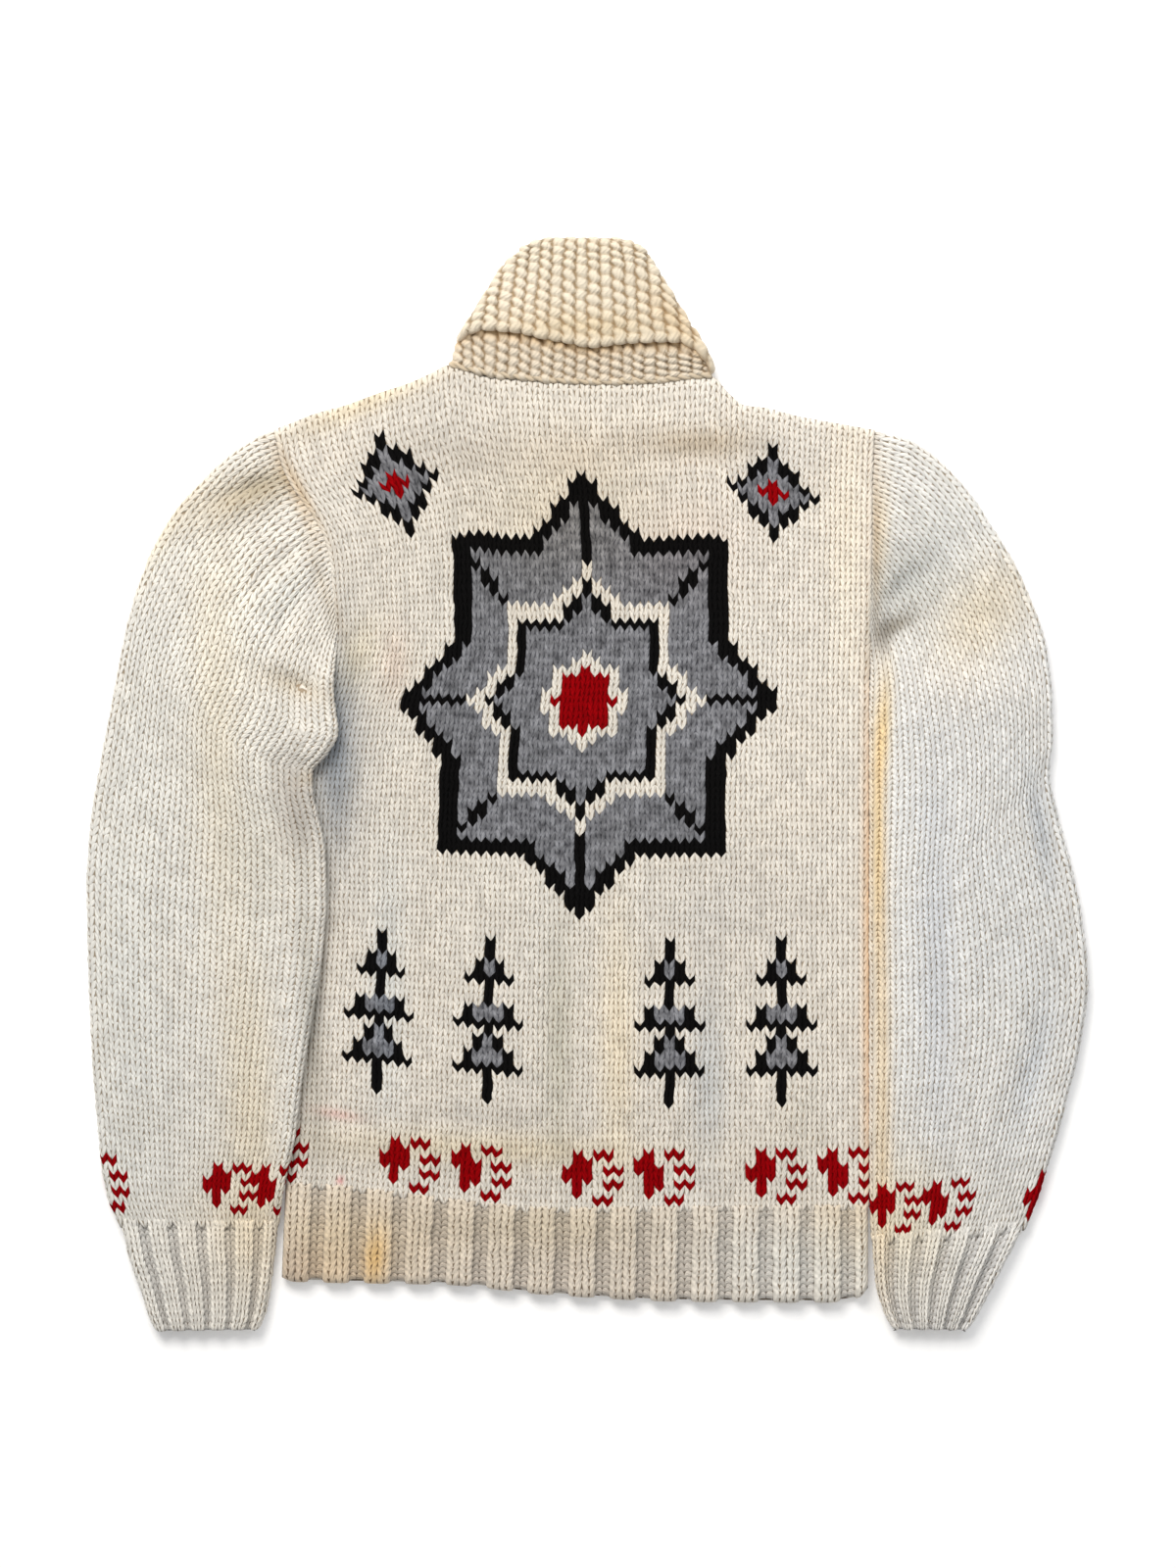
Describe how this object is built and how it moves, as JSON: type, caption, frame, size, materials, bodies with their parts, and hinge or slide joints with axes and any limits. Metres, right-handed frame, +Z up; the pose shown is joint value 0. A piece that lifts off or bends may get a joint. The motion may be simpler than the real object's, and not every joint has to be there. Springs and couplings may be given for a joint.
{
  "type": "cowichan sweater",
  "caption": "Bulky hand-knitted wool pullover with full sleeves, a folded garter-stitch collar and ribbed hem and cuffs, laid flat with its back up.",
  "frame": {"origin": "middle of the garment's outline, on the surface that it lies on", "axes": "+Z up from the surface, +Y towards the collar, +X towards the wearer's right sleeve"},
  "size_m": [0.675, 0.7364, 0.0233],
  "materials": {
    "cream_wool": "bulky undyed wool in stocking stitch, matt and slightly hairy, with worked-in motifs in grey, black and red wool",
    "rib_wool": "the same bulky wool in deep ribbing",
    "collar_wool": "the same bulky wool in garter stitch, a little yellower"
  },
  "bodies": {
    "root": {"front": "cream_wool", "back": "cream_wool", "front_hem_rib": "rib_wool", "back_hem_rib": "rib_wool", "left_sleeve": "cream_wool", "right_sleeve": "cream_wool", "left_cuff": "rib_wool", "right_cuff": "rib_wool", "collar": "collar_wool"}
  },
  "joints": []
}
